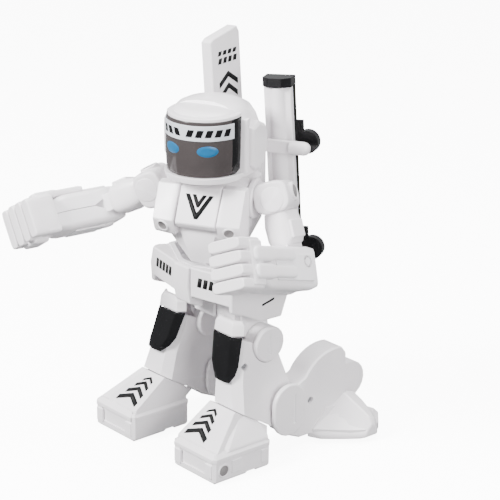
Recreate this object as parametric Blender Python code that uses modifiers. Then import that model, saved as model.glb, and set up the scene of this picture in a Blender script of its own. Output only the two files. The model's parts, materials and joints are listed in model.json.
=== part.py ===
"""Walking humanoid robot: an electronic toy with a turning torso, jointed arms and wheeled feet.

World frame: +X is the robot's left, -Y is the way its feet point, +Z is up.
Lengths below are in millimetres and angles in degrees; MM turns them into Blender's metres.
The frames are empties on the joint axes, and every piece is drawn in the frame that it moves with.
"""
import math

import bmesh
import bpy
from mathutils import Matrix, Vector

MM = 0.001
GAP = 0.3
COLLECTION = "humanoid_robot"

# Stance
WAIST_Y = 15.0
TORSO_YAW = 29.0
HEAD_YAW = -5.0

# Pelvis
BELT_Z = (73.5, 88.0)
BELT_FLOOR = (80.0, 82.0)
BELT_WALL = 2.2
BELT_HALF_WIDTH = 25.8
POST_RADIUS = 4.5
POST_TOP = 97.5
WAIST_GEAR_RADIUS = 6.0
WAIST_GEAR_Z = (93.0, 96.0)
WAIST_PINION_RADIUS = 2.6

# Legs
HIP = (19.0, 72.0)
KNEE = (21.7, 52.0)
HIP_AXLE_RADIUS = 2.5
KNEE_DISC_RADIUS = 8.3
KNEE_BARREL = 7.0
THIGH_X = (8.2, 20.4)
TONGUE_X = (13.6, 22.4)
FOOT_X = (14.6, 43.2)
FOOT_Y = (-21.0, 12.0)
SOLE_Z = (0.0, 13.5)
ROLLER_RADIUS = 4.6
ROLLER_Y = -11.0
CUT_SLOPE = 0.62
TAIL_X = (24.0, 36.0)
TAIL_ARC = (57.0, 22.0, 21.0)
HUB = (27.6, 21.0)
WHEEL = (56.0, 8.0)
WHEEL_RADIUS = 8.0
MOTOR = (46.8, 16.1)
DRIVE_GEAR_RADIUS = 7.0
DRIVE_PINION_RADIUS = 4.6

# Torso
NECK_Z = 127.5
SHOULDER_Z = 117.0
SHOULDER_X = 18.0
BACK_Y = 16.5

# Head
DOME_RADIUS = 21.0
FACE_RADIUS = 17.0
FACE_Y = -9.5
VISOR_Z = (131.8, 155.2)
HEAD_Z = (128.6, 163.5)

# Arms
RAISE_X = 12.0
UPPER_ARM = 29.0
ARM_RADIUS = 6.0
HEAD_BARREL = 6.5
ELBOW_BARREL = 5.5
ARM_POSE = {"left": (-17.0, 19.0, 20.0, 97.0), "right": (0.0, 62.0, 17.0, 66.0)}

SIDES = {"left": 1.0, "right": -1.0}


# ---------------------------------------------------------------- scene and materials

def clear_scene():
    for old in list(bpy.data.objects):
        bpy.data.objects.remove(old, do_unlink=True)


def make_collection(name):
    collection = bpy.data.collections.new(name)
    bpy.context.scene.collection.children.link(collection)
    return collection


clear_scene()
PARTS = make_collection(COLLECTION)
CUTTERS = make_collection("cutters")


def make_material(name, colour, roughness, metallic=0.0):
    material = bpy.data.materials.new(name)
    material.use_nodes = True
    shader = material.node_tree.nodes["Principled BSDF"]
    shader.inputs["Base Color"].default_value = (*colour, 1.0)
    shader.inputs["Roughness"].default_value = roughness
    shader.inputs["Metallic"].default_value = metallic
    return material


WHITE = make_material("white_shell", (0.80, 0.79, 0.80), 0.38)
BLACK = make_material("black_trim", (0.02, 0.02, 0.02), 0.22)
SMOKE = make_material("smoked_visor", (0.06, 0.055, 0.055), 0.12)
BLUE = make_material("blue_lens", (0.03, 0.32, 0.62), 0.25)
METAL = make_material("bright_metal", (0.60, 0.60, 0.62), 0.30, 1.0)
GEAR = make_material("gear_plastic", (0.75, 0.72, 0.62), 0.45)
BOARD = make_material("circuit_green", (0.03, 0.20, 0.08), 0.40)
TYRE = make_material("wheel_rubber", (0.05, 0.05, 0.05), 0.75)
CELL = make_material("battery_wrap", (0.10, 0.16, 0.40), 0.35)


def make_frame(name, parent, origin, turns=()):
    """An empty at origin in its parent's frame, turned about one axis after another."""
    frame = bpy.data.objects.new(name, None)
    frame.empty_display_size = 0.01
    PARTS.objects.link(frame)
    frame.parent = parent
    place = Matrix.Translation(Vector(origin) * MM)
    for axis, angle in turns:
        place = place @ Matrix.Rotation(math.radians(angle), 4, axis)
    frame.matrix_local = place
    return frame


# ---------------------------------------------------------------- shape makers

def finish(name, mesh_builder, frame, material, smooth_angle=35.0):
    """Turns a bmesh in millimetres into a named, parented object."""
    bmesh.ops.scale(mesh_builder, vec=(MM, MM, MM), verts=mesh_builder.verts)
    bmesh.ops.recalc_face_normals(mesh_builder, faces=mesh_builder.faces)
    mesh = bpy.data.meshes.new(name)
    mesh_builder.to_mesh(mesh)
    mesh_builder.free()
    mesh.shade_smooth()
    mesh.set_sharp_from_angle(angle=math.radians(smooth_angle))
    piece = bpy.data.objects.new(name, mesh)
    PARTS.objects.link(piece)
    piece.parent = frame
    if material:
        mesh.materials.append(material)
    return piece


def bevel(piece, width, segments=1):
    if width:
        edge = piece.modifiers.new("edge", "BEVEL")
        edge.width = width * MM
        edge.segments = segments
        edge.limit_method = "ANGLE"
        edge.angle_limit = math.radians(30.0)
    return piece


def block(name, frame, material, x, y, z, round_edge=0.0):
    builder = bmesh.new()
    bmesh.ops.create_cube(builder, size=1.0)
    size = [abs(span[1] - span[0]) for span in (x, y, z)]
    centre = [0.5 * (span[0] + span[1]) for span in (x, y, z)]
    bmesh.ops.scale(builder, vec=size, verts=builder.verts)
    bmesh.ops.translate(builder, vec=centre, verts=builder.verts)
    return bevel(finish(name, builder, frame, material), round_edge)


AXIS_TURN = {
    "X": Matrix.Rotation(math.radians(90.0), 3, "Y"),
    "Y": Matrix.Rotation(math.radians(-90.0), 3, "X"),
    "Z": Matrix.Identity(3),
}


def rod(name, frame, material, radius, axis, centre, span, sides=24, end_radius=None):
    """A round bar along an axis; centre gives its other two coordinates, in x, y, z order."""
    builder = bmesh.new()
    top = radius if end_radius is None else end_radius
    bmesh.ops.create_cone(builder, cap_ends=True, segments=sides, radius1=radius, radius2=top,
                          depth=abs(span[1] - span[0]))
    bmesh.ops.rotate(builder, matrix=AXIS_TURN[axis], verts=builder.verts)
    middle = 0.5 * (span[0] + span[1])
    place = list(centre)
    place.insert("XYZ".index(axis), middle)
    bmesh.ops.translate(builder, vec=place, verts=builder.verts)
    return finish(name, builder, frame, material)


PLANE_TURN = {
    "X": Matrix(((0, 0, 1), (1, 0, 0), (0, 1, 0))),
    "Y": Matrix(((1, 0, 0), (0, 0, -1), (0, 1, 0))),
    "Z": Matrix.Identity(3),
}


def prism(name, frame, material, axis, outline, span, round_edge=0.0):
    """A flat outline pushed along an axis: the outline is (y, z), (x, z) or (x, y)."""
    curve = bpy.data.curves.new(name, "CURVE")
    curve.dimensions = "2D"
    curve.fill_mode = "BOTH"
    curve.extrude = 0.5 * abs(span[1] - span[0])
    line = curve.splines.new("POLY")
    line.points.add(len(outline) - 1)
    for point, (across, along) in zip(line.points, outline):
        point.co = (across, along, 0.0, 1.0)
    line.use_cyclic_u = True
    holder = bpy.data.objects.new(name, curve)
    PARTS.objects.link(holder)
    evaluated = holder.evaluated_get(bpy.context.evaluated_depsgraph_get())
    flat = bpy.data.meshes.new_from_object(evaluated)
    bpy.data.objects.remove(holder, do_unlink=True)
    builder = bmesh.new()
    builder.from_mesh(flat)
    bmesh.ops.remove_doubles(builder, verts=builder.verts, dist=0.001)
    bmesh.ops.dissolve_limit(builder, angle_limit=0.001, verts=builder.verts, edges=builder.edges)
    middle = 0.5 * (span[0] + span[1]) * (-1.0 if axis == "Y" else 1.0)
    bmesh.ops.translate(builder, vec=(0.0, 0.0, middle), verts=builder.verts)
    bmesh.ops.transform(builder, matrix=PLANE_TURN[axis].to_4x4(), verts=builder.verts)
    return bevel(finish(name, builder, frame, material), round_edge)


def loft(name, frame, material, rings, round_edge=0.0):
    """A closed skin through rings that have the same number of corners."""
    builder = bmesh.new()
    layers = [[builder.verts.new(corner) for corner in ring] for ring in rings]
    for lower, upper in zip(layers, layers[1:]):
        for index in range(len(lower)):
            following = (index + 1) % len(lower)
            builder.faces.new((lower[index], lower[following], upper[following], upper[index]))
    builder.faces.new(layers[0][::-1])
    builder.faces.new(layers[-1])
    return bevel(finish(name, builder, frame, material), round_edge)


def turned(name, frame, material, profile, axis, centre, sides=32):
    """A profile of (radius, height) pairs, top to bottom, spun round an axis."""
    builder = bmesh.new()
    corners = [builder.verts.new((radius, 0.0, height)) for radius, height in profile]
    for first, second in zip(corners, corners[1:]):
        builder.edges.new((first, second))
    spun = bmesh.ops.spin(builder, geom=builder.verts[:] + builder.edges[:], cent=(0, 0, 0),
                          axis=(0, 0, 1), angle=2.0 * math.pi, steps=sides, use_merge=True)
    del spun
    bmesh.ops.remove_doubles(builder, verts=builder.verts, dist=0.001)
    bmesh.ops.rotate(builder, matrix=AXIS_TURN[axis], verts=builder.verts)
    bmesh.ops.translate(builder, vec=centre, verts=builder.verts)
    return finish(name, builder, frame, material)


def arc(centre, radius, start, end, steps):
    """Points on a circle in a flat outline, from start to end degrees."""
    points = []
    for step in range(steps + 1):
        angle = math.radians(start + (end - start) * step / steps)
        points.append((centre[0] + radius * math.cos(angle), centre[1] + radius * math.sin(angle)))
    return points


def gear_outline(centre, tip, teeth, depth=1.0, turn=0.0):
    """A toothed wheel: each tooth is a trapezium on the root circle."""
    points = []
    pitch = 360.0 / teeth
    for tooth in range(teeth):
        for share, radius in ((0.0, tip - depth), (0.22, tip), (0.5, tip), (0.72, tip - depth)):
            angle = math.radians(turn + pitch * (tooth + share))
            points.append((centre[0] + radius * math.cos(angle),
                           centre[1] + radius * math.sin(angle)))
    return points


def combine(piece, tool, operation):
    """Cuts or joins with a hidden tool, which moves to the cutters' collection."""
    PARTS.objects.unlink(tool)
    CUTTERS.objects.link(tool)
    tool.hide_render = True
    tool.display_type = "WIRE"
    step = piece.modifiers.new(operation.lower(), "BOOLEAN")
    step.operation = operation
    step.object = tool
    return piece


def cut(piece, *tools):
    for tool in tools:
        combine(piece, tool, "DIFFERENCE")
    return piece


def join(piece, *tools):
    for tool in tools:
        combine(piece, tool, "UNION")
    return piece


def on_side(side, span):
    """A left-hand X span moved to the given side."""
    return tuple(sorted((side * span[0], side * span[1])))


def mirrored(side, ring):
    return [(side * x, y, z) for x, y, z in ring]


def inset_outline(outline, distance):
    """Moves each edge of a convex outline inwards."""
    area = sum(a[0] * b[1] - b[0] * a[1] for a, b in zip(outline, outline[1:] + outline[:1]))
    inward = 1.0 if area > 0.0 else -1.0
    lines = []
    for start, end in zip(outline, outline[1:] + outline[:1]):
        run = Vector((end[0] - start[0], end[1] - start[1])).normalized()
        shift = Vector((-run.y, run.x)) * inward * distance
        lines.append((Vector(start) + shift, run))
    corners = []
    for (point, run), (other, other_run) in zip(lines[-1:] + lines[:-1], lines):
        along = (other - point).cross(other_run) / run.cross(other_run)
        corner = point + run * along
        corners.append((corner.x, corner.y))
    return corners


# ---------------------------------------------------------------- pelvis

BELT_OUTLINE = [(-5.5, -1.5), (5.5, -1.5), (BELT_HALF_WIDTH, 9.5), (BELT_HALF_WIDTH, 25.0),
                (17.0, 33.0), (-17.0, 33.0), (-BELT_HALF_WIDTH, 25.0), (-BELT_HALF_WIDTH, 9.5)]
SKIRT_OUTLINE = [(2.0, 86.6), (0.6, 80.0), (1.2, 71.0), (8.0, 68.3), (18.0, 63.2), (30.5, 62.8),
                 (34.0, 72.0), (33.0, 86.6)]


def make_pelvis(root):
    tray = prism("belt_tray", root, WHITE, "Z", BELT_OUTLINE, BELT_Z)
    inner = inset_outline(BELT_OUTLINE, BELT_WALL)
    cut(tray, prism("belt_tray_top_cut", root, None, "Z", inner, (BELT_FLOOR[1], 90.0)),
        prism("belt_tray_under_cut", root, None, "Z", inner, (70.0, BELT_FLOOR[0])))
    join(tray, rod("belt_post", root, None, POST_RADIUS, "Z", (0.0, WAIST_Y),
                   (BELT_FLOOR[0] + 0.5, WAIST_GEAR_Z[0] - GAP)),
         rod("belt_boss", root, None, 3.2, "Z", (0.0, 4.3), (BELT_FLOOR[1] - 0.5, 84.0)))
    cut(tray, rod("belt_boss_hole", root, None, 1.4, "Z", (0.0, 4.3), (82.8, 90.0), 12))
    front = [(-1.9, 87.9), (-4.2, 87.2), (-4.9, 78.0), (-3.4, 70.0), (4.0, 67.0), (4.0, 72.8),
             (-1.9, 72.8)]
    prism("belt_front_box", root, WHITE, "X", front, (-5.4, 5.4), 0.5)
    for label, side in SIDES.items():
        skirt = prism(f"{label}_hip_skirt", root, WHITE, "X", SKIRT_OUTLINE,
                      on_side(side, (BELT_HALF_WIDTH + GAP, BELT_HALF_WIDTH + 3.0)), 0.6)
        del skirt
    hip = block("hip_block", root, WHITE, (-7.4, 7.4), (9.0, 28.5), (61.0, 79.7), 0.8)
    cut(hip, rod("hip_block_bore", root, None, HIP_AXLE_RADIUS + GAP, "X", HIP, (-12.0, 12.0)))
    rod("hip_axle", root, METAL, HIP_AXLE_RADIUS, "X", HIP, (-22.5, 22.5))
    gear = prism("waist_gear", root, GEAR, "Z",
                 gear_outline((0.0, WAIST_Y), WAIST_GEAR_RADIUS, 20, 0.8), WAIST_GEAR_Z)
    del gear


# ---------------------------------------------------------------- legs

def make_thigh(label, side, frame):
    upper = [(26.5, 74.5)] + arc(HIP, 7.4, 25.0, 180.0, 8) + [(9.8, 69.0), (9.8, 62.5)]
    upper += arc(KNEE, 9.0, 138.0, 60.0, 5) + [(27.4, 62.0)]
    thigh = prism(f"{label}_thigh", frame, WHITE, "X", upper, on_side(side, THIGH_X))
    lower = [(26.5, 68.0), (12.5, 68.0), (12.5, 58.0)] + arc(KNEE, KNEE_BARREL, 165.0, 360.0, 12)
    join(thigh, prism(f"{label}_thigh_tongue", frame, None, "X", lower, on_side(side, TONGUE_X)))
    cut(thigh, rod(f"{label}_thigh_hip_bore", frame, None, HIP_AXLE_RADIUS + GAP, "X", HIP,
                   on_side(side, (0.0, 30.0))),
        rod(f"{label}_thigh_knee_bore", frame, None, HIP_AXLE_RADIUS + GAP, "X", KNEE,
            on_side(side, (0.0, 30.0))))
    return thigh


def make_shin(label, side, frame):
    rings = [
        [(14.0, 5.5, 58.0), (25.0, 5.5, 58.0), (28.3, 9.0, 56.4), (28.3, 28.5, 47.0),
         (11.2, 28.5, 47.0), (11.2, 9.0, 56.4)],
        [(18.0, 1.2, 40.0), (28.5, 1.2, 40.0), (32.5, 4.5, 38.4), (32.5, 32.5, 31.0),
         (14.8, 32.5, 31.0), (14.3, 4.5, 38.4)],
        [(19.5, -1.0, 27.0), (32.0, -1.0, 27.0), (36.0, 2.5, 24.8), (36.0, 24.0, 11.5),
         (15.6, 24.0, 11.5), (15.6, 2.5, 24.8)],
    ]
    shin = loft(f"{label}_shin_shell", frame, WHITE, [mirrored(side, ring) for ring in rings])
    cheek = KNEE_DISC_RADIUS - 0.2
    join(shin, rod(f"{label}_cheeks", frame, None, cheek, "X", KNEE, on_side(side, (11.2, 28.3)), 32))
    slot = on_side(side, (TONGUE_X[0] - GAP, TONGUE_X[1] + GAP))
    cut(shin, rod(f"{label}_slot", frame, None, KNEE_BARREL + 0.6, "X", KNEE, slot, 32),
        prism(f"{label}_slot_mouth", frame, None, "X",
              [(9.2, 70.0), (9.2, 53.5), (14.2, 50.0), (29.2, 50.0), (40.0, 58.0), (40.0, 70.0)],
              slot),
        rod(f"{label}_shin_pin_bore", frame, None, HIP_AXLE_RADIUS + 0.1 + GAP, "X", KNEE,
            on_side(side, (0.0, 40.0))),
        rod(f"{label}_disc_seat", frame, None, KNEE_DISC_RADIUS + GAP, "X", KNEE,
            on_side(side, (28.3, 45.0)), 32),
        rod(f"{label}_shin_hub_bore", frame, None, 2.6, "X", HUB, on_side(side, (0.0, 50.0))),
        rod(f"{label}_shin_screw_hole", frame, None, 1.7, "X", (7.0, 45.0),
            on_side(side, (28.0, 40.0)), 12))
    return shin


def make_knee(label, side, frame):

    def band(height, front, low, high, wings, depth=1.3):
        """A strip over the shin's front and its two chamfers; wings are how far back its ends go."""
        outer = [(low, front + wings[0], height), (low + 3.0, front, height),
                 (high - 3.4, front, height), (high, front + wings[1], height)]
        inner = [(high - 0.9, front + wings[1] + 0.4, height), (high - 3.9, front + depth, height),
                 (low + 3.4, front + depth, height), (low + 0.9, front + wings[0] + 0.4, height)]
        return outer + inner

    rings = [band(58.7, 3.6, 10.4, 29.2, (3.9, 4.6), 2.2), band(63.4, 4.2, 10.8, 28.8, (3.6, 4.6), 2.2),
             band(65.4, 5.4, 12.4, 27.4, (2.4, 3.2), 2.0)]
    loft(f"{label}_knee_cap", frame, WHITE, [mirrored(side, ring) for ring in rings], 0.4)
    rings = [band(58.2, 3.2, 10.6, 29.0, (3.6, 3.9)), band(46.0, 0.1, 13.0, 30.6, (3.0, 3.4)),
             band(42.0, -0.9, 15.4, 30.6, (2.2, 2.6)), band(38.6, -1.6, 19.4, 29.0, (0.6, 1.0))]
    loft(f"{label}_knee_insert", frame, BLACK, [mirrored(side, ring) for ring in rings])
    pin_profile = [(0.0, 31.0), (7.6, 31.0), (KNEE_DISC_RADIUS, 30.2), (KNEE_DISC_RADIUS, 28.6),
                   (HIP_AXLE_RADIUS, 28.6), (HIP_AXLE_RADIUS, 10.9), (KNEE_DISC_RADIUS, 10.9),
                   (KNEE_DISC_RADIUS, 9.2), (7.6, 8.5), (0.0, 8.5)]
    profile = [(radius, side * height) for radius, height in pin_profile]
    pin = turned(f"{label}_knee_pin", frame, WHITE, profile, "X", (0.0, *KNEE))
    cut(pin, block(f"{label}_knee_slot", frame, None, on_side(side, (30.4, 40.0)),
                   (KNEE[0] - 0.6, KNEE[0] + 0.6), (KNEE[1] - 5.0, KNEE[1] + 5.0)))


def make_foot(label, side, frame):
    centre = 0.5 * (FOOT_X[0] + FOOT_X[1])
    sole = block(f"{label}_foot_sole", frame, WHITE, on_side(side, FOOT_X), FOOT_Y, SOLE_Z)
    bevel(sole, 1.2)
    pocket = ROLLER_RADIUS + 0.7
    cut(sole,
        block(f"{label}_roller_pocket", frame, None, on_side(side, (centre - 5.6, centre + 5.6)),
              (ROLLER_Y - pocket, ROLLER_Y + pocket), (-5.0, ROLLER_RADIUS + pocket)),
        block(f"{label}_sole_recess", frame, None, on_side(side, (centre - 9.5, centre + 9.5)),
              (-30.0, FOOT_Y[0] + 0.7), (3.5, 10.0)),
        block(f"{label}_sole_arch", frame, None, on_side(side, (0.0, 60.0)), (-2.0, 4.0),
              (-5.0, SOLE_Z[0] + 1.4)),
        rod(f"{label}_sole_hole", frame, None, 1.9, "X", (-16.5, 5.8), on_side(side, (41.0, 50.0)), 16))
    plane = 26.6 - CUT_SLOPE * 17.0
    rings = [
        [(15.6, -18.8, SOLE_Z[1] + GAP), (42.2, -18.8, SOLE_Z[1] + GAP),
         (42.2, 11.0, SOLE_Z[1] + GAP), (15.6, 11.0, SOLE_Z[1] + GAP)],
        [(16.8, -1.0, 26.6), (33.5, -1.0, 26.6), (36.4, 16.0, plane - 0.1),
         (17.0, 16.0, plane - 0.1)],
    ]
    loft(f"{label}_foot_upper", frame, WHITE, [mirrored(side, ring) for ring in rings])


def make_tail(label, side, frame):
    centre_y, centre_z, radius = TAIL_ARC
    outline = [(34.0, 30.8)] + arc((centre_y, centre_z), radius, 148.0, 78.0, 8)
    outline += [(64.5, 38.5), (64.5, 30.5)] + arc((71.0, 22.0), 9.0, 70.0, -60.0, 7)
    outline += [(66.0, 4.0), (36.0, 4.0), (28.0, 7.5), (24.8, 11.8)]
    housing = prism(f"{label}_tail_housing", frame, WHITE, "X", outline, on_side(side, TAIL_X), 0.7)
    spur = [(34.3, 45.0), (37.0, 43.5), (48.6, 56.0), (52.6, 61.5), (53.0, 67.0), (50.0, 72.5),
            (42.0, 80.0), (34.3, 78.0)]
    ridge = [(34.3, 52.0), (36.6, 52.0), (37.4, 58.0), (38.2, 62.0), (38.6, 66.0), (38.0, 70.0),
             (36.4, 73.0), (34.3, 73.5)]
    rings = [[(x - 0.8 * (x > 35.0), y, 2.0) for x, y in spur], [(x, y, 3.4) for x, y in spur],
             [(x, y, 6.4) for x, y in spur], [(x, y, 14.6) for x, y in ridge]]
    join(housing, loft(f"{label}_tail_spur", frame, None, [mirrored(side, ring) for ring in rings]))
    inside = on_side(side, (TAIL_X[0] + 1.6, TAIL_X[1] - 1.6))
    cut(housing,
        rod(f"{label}_wheel_well", frame, None, WHEEL_RADIUS + 1.2, "X", WHEEL, inside, 32),
        block(f"{label}_wheel_mouth", frame, None, inside,
              (WHEEL[0] - 9.2, WHEEL[0] + 9.2), (-5.0, WHEEL[1])),
        rod(f"{label}_motor_well", frame, None, 5.2, "X", MOTOR, inside, 24),
        rod(f"{label}_axle_bore", frame, None, 1.8, "X", WHEEL, on_side(side, (20.0, 35.3)), 16),
        rod(f"{label}_tail_hub_bore", frame, None, 2.6, "X", HUB, on_side(side, (20.0, 45.0)), 24),
        rod(f"{label}_tail_screw_hole", frame, None, 1.7, "X", (42.2, 21.0),
            on_side(side, (35.0, 40.0)), 12),
        block(f"{label}_rear_step", frame, None, on_side(side, (31.5, 45.0)), (64.2, 90.0),
              (8.5, 45.0)))
    hub = arc((HUB[0], HUB[1] + 3.0), 9.5, 0.0, 180.0, 12)
    hub += arc((HUB[0], HUB[1] - 3.0), 9.5, 180.0, 360.0, 12)
    cover = prism(f"{label}_tail_hub", frame, WHITE, "X", hub, on_side(side, (36.4, 38.9)))
    bevel(cover, 0.5)
    inner = [(y * 0.62 + HUB[0] * 0.38, z * 0.8 + HUB[1] * 0.2) for y, z in hub]
    join(cover, rod(f"{label}_hub_pin", frame, None, 2.2, "X", HUB, on_side(side, (13.0, 37.0))),
         prism(f"{label}_hub_inner", frame, None, "X", inner, on_side(side, (12.6, 14.3))))
    cut(cover, block(f"{label}_hub_slot", frame, None, on_side(side, (38.3, 45.0)),
                     (HUB[0] + 2.0, HUB[0] + 3.2), (HUB[1] - 7.0, HUB[1] + 7.0)))


def make_drive(label, side, frames):
    low = TAIL_X[0] + 2.0
    rod(f"{label}_drive_motor", frames["shin"], METAL, 3.9, "X", MOTOR,
        on_side(side, (low + 3.2, TAIL_X[1] - 2.0)))
    prism(f"{label}_drive_pinion", frames["pinion"], GEAR, "X",
          gear_outline((0.0, 0.0), DRIVE_PINION_RADIUS, 12), on_side(side, (low, low + 2.4)))
    wheel = prism(f"{label}_drive_wheel", frames["wheel"], TYRE, "X",
                  gear_outline((0.0, 0.0), DRIVE_GEAR_RADIUS, 18), on_side(side, (low, low + 3.2)))
    join(wheel, rod(f"{label}_tyre", frames["wheel"], None, WHEEL_RADIUS, "X", (0.0, 0.0),
                    on_side(side, (low + 2.9, TAIL_X[1] - 2.0)), 32),
         rod(f"{label}_axle", frames["wheel"], None, 1.5, "X", (0.0, 0.0),
             on_side(side, (TAIL_X[0] + 0.4, TAIL_X[1] - 0.9)), 16))
    centre = 0.5 * (FOOT_X[0] + FOOT_X[1])
    rod(f"{label}_front_roller", frames["roller"], TYRE, ROLLER_RADIUS, "X", (0.0, 0.0),
        on_side(side, (centre - 5.0, centre + 5.0)))


def make_leg(label, side, root):
    thigh = make_frame(f"{label}_hip_frame", root, (0.0, 0.0, 0.0))
    shin = make_frame(f"{label}_knee_frame", thigh, (0.0, 0.0, 0.0))
    frames = {
        "shin": shin,
        "pinion": make_frame(f"{label}_pinion_frame", shin, (0.0, *MOTOR)),
        "wheel": make_frame(f"{label}_wheel_frame", shin, (0.0, *WHEEL)),
        "roller": make_frame(f"{label}_roller_frame", shin, (0.0, ROLLER_Y, ROLLER_RADIUS)),
    }
    make_thigh(label, side, thigh)
    make_shin(label, side, shin)
    make_knee(label, side, shin)
    make_foot(label, side, shin)
    make_tail(label, side, shin)
    make_drive(label, side, frames)


# ---------------------------------------------------------------- torso

def front_ring(height, nose, nose_y, wide, wide_y, waist):
    return [(-waist, -0.2, height), (-waist, wide_y + 1.0, height), (-wide, wide_y, height),
            (-nose, nose_y, height), (nose, nose_y, height), (wide, wide_y, height),
            (waist, wide_y + 1.0, height), (waist, -0.2, height)]


def back_ring(height, half, depth):
    return [(-half, 0.2, height), (half, 0.2, height), (half, depth - 3.0, height),
            (half - 3.0, depth, height), (3.0 - half, depth, height), (-half, depth - 3.0, height)]


def make_torso(torso):
    front = loft("torso_front_shell", torso, WHITE, [
        front_ring(90.0, 4.3, -17.3, 9.0, -7.0, 11.0),
        front_ring(104.0, 8.0, -20.0, 20.0, -11.5, 17.6),
        front_ring(124.0, 8.0, -13.0, 20.0, -11.5, 17.6),
        front_ring(NECK_Z, 7.0, -10.0, 13.0, -8.5, 13.0)])
    pec = [(-11.5, 125.2), (-15.6, 124.6), (-22.6, 109.0), (-20.6, 105.4), (-11.5, 103.6)]
    for label, side in SIDES.items():
        join(front, prism(f"{label}_pec", torso, None, "X", pec, on_side(side, (9.9, 20.2))))
    cut(front,
        loft("torso_front_hollow", torso, None, [
            [(x, y + 1.0, z) for x, y, z in front_ring(92.2, 3.0, -14.2, 7.0, -6.0, 9.0)],
            [(x, y + 1.0, z) for x, y, z in front_ring(105.0, 6.0, -13.0, 15.6, -10.5, 15.6)],
            [(x, y + 1.0, z) for x, y, z in front_ring(123.0, 6.0, -11.5, 15.6, -10.5, 15.6)],
            [(x, y + 1.0, z) for x, y, z in front_ring(125.5, 5.0, -8.0, 11.0, -7.0, 11.0)]]),
        rod("torso_front_waist_hole", torso, None, POST_RADIUS + 0.8, "Z", (0.0, 0.0), (85.0, 94.0)),
        rod("torso_front_neck_hole", torso, None, 5.4, "Z", (0.0, 0.0), (120.0, 130.0)))
    for label, side in SIDES.items():
        cut(front, rod(f"{label}_pec_hole", torso, None, 2.2, "Z", (side * 14.5, -17.2),
                       (100.0, 109.0), 16))
    back = loft("torso_back_shell", torso, WHITE, [
        back_ring(90.0, 11.0, 13.0), back_ring(104.0, 17.6, BACK_Y), back_ring(124.0, 17.6, BACK_Y),
        back_ring(NECK_Z, 13.0, BACK_Y - 3.0)])
    cut(back,
        loft("torso_back_hollow", torso, None, [
            [(x, y - 1.0, z) for x, y, z in back_ring(92.2, 9.4, 12.2)],
            [(x, y - 1.0, z) for x, y, z in back_ring(104.0, 15.6, BACK_Y - 1.0)],
            [(x, y - 1.0, z) for x, y, z in back_ring(123.0, 15.6, BACK_Y - 1.0)],
            [(x, y - 1.0, z) for x, y, z in back_ring(125.5, 11.0, BACK_Y - 4.0)]]),
        rod("torso_back_waist_hole", torso, None, POST_RADIUS + 0.8, "Z", (0.0, 0.0), (85.0, 94.0)),
        rod("torso_back_neck_hole", torso, None, 5.4, "Z", (0.0, 0.0), (120.0, 130.0)),
        block("switch_window", torso, None, (-4.6, 4.6), (10.0, 30.0), (92.6, 95.6)))
    plate = [(-13.4, 125.6), (-16.2, 124.6), (-24.4, 109.6), (-22.6, 107.2), (-20.6, 107.2),
             (-14.3, 122.6)]
    prism("chest_plate", torso, WHITE, "X", plate, (-9.5, 9.5), 0.4)
    block("battery_pack", torso, CELL, (-12.5, 12.5), (-9.0, 3.4), (101.0, 119.0), 1.0)
    block("circuit_board", torso, BOARD, (-13.5, 13.5), (5.4, 7.0), (113.6, 122.5))
    prism("battery_cover", torso, WHITE, "Y",
          [(-11.0, 98.5), (11.0, 98.5), (12.5, 100.5), (12.5, 111.5), (-12.5, 111.5), (-12.5, 100.5)],
          (BACK_Y + GAP, BACK_Y + 1.8), 0.3)
    distance = WAIST_GEAR_RADIUS + WAIST_PINION_RADIUS + GAP
    rod("waist_motor", torso, METAL, 3.3, "Z", (0.0, distance), (WAIST_GEAR_Z[1] + 0.8, 112.0))
    pinion = make_frame("waist_pinion_frame", torso, (0.0, distance, 0.0))
    prism("waist_pinion", pinion, GEAR, "Z", gear_outline((0.0, 0.0), WAIST_PINION_RADIUS, 8, 0.8),
          WAIST_GEAR_Z)
    block("power_switch", torso, BLACK, (-3.0, 0.6), (12.0, 15.6), (93.0, 95.2))


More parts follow.
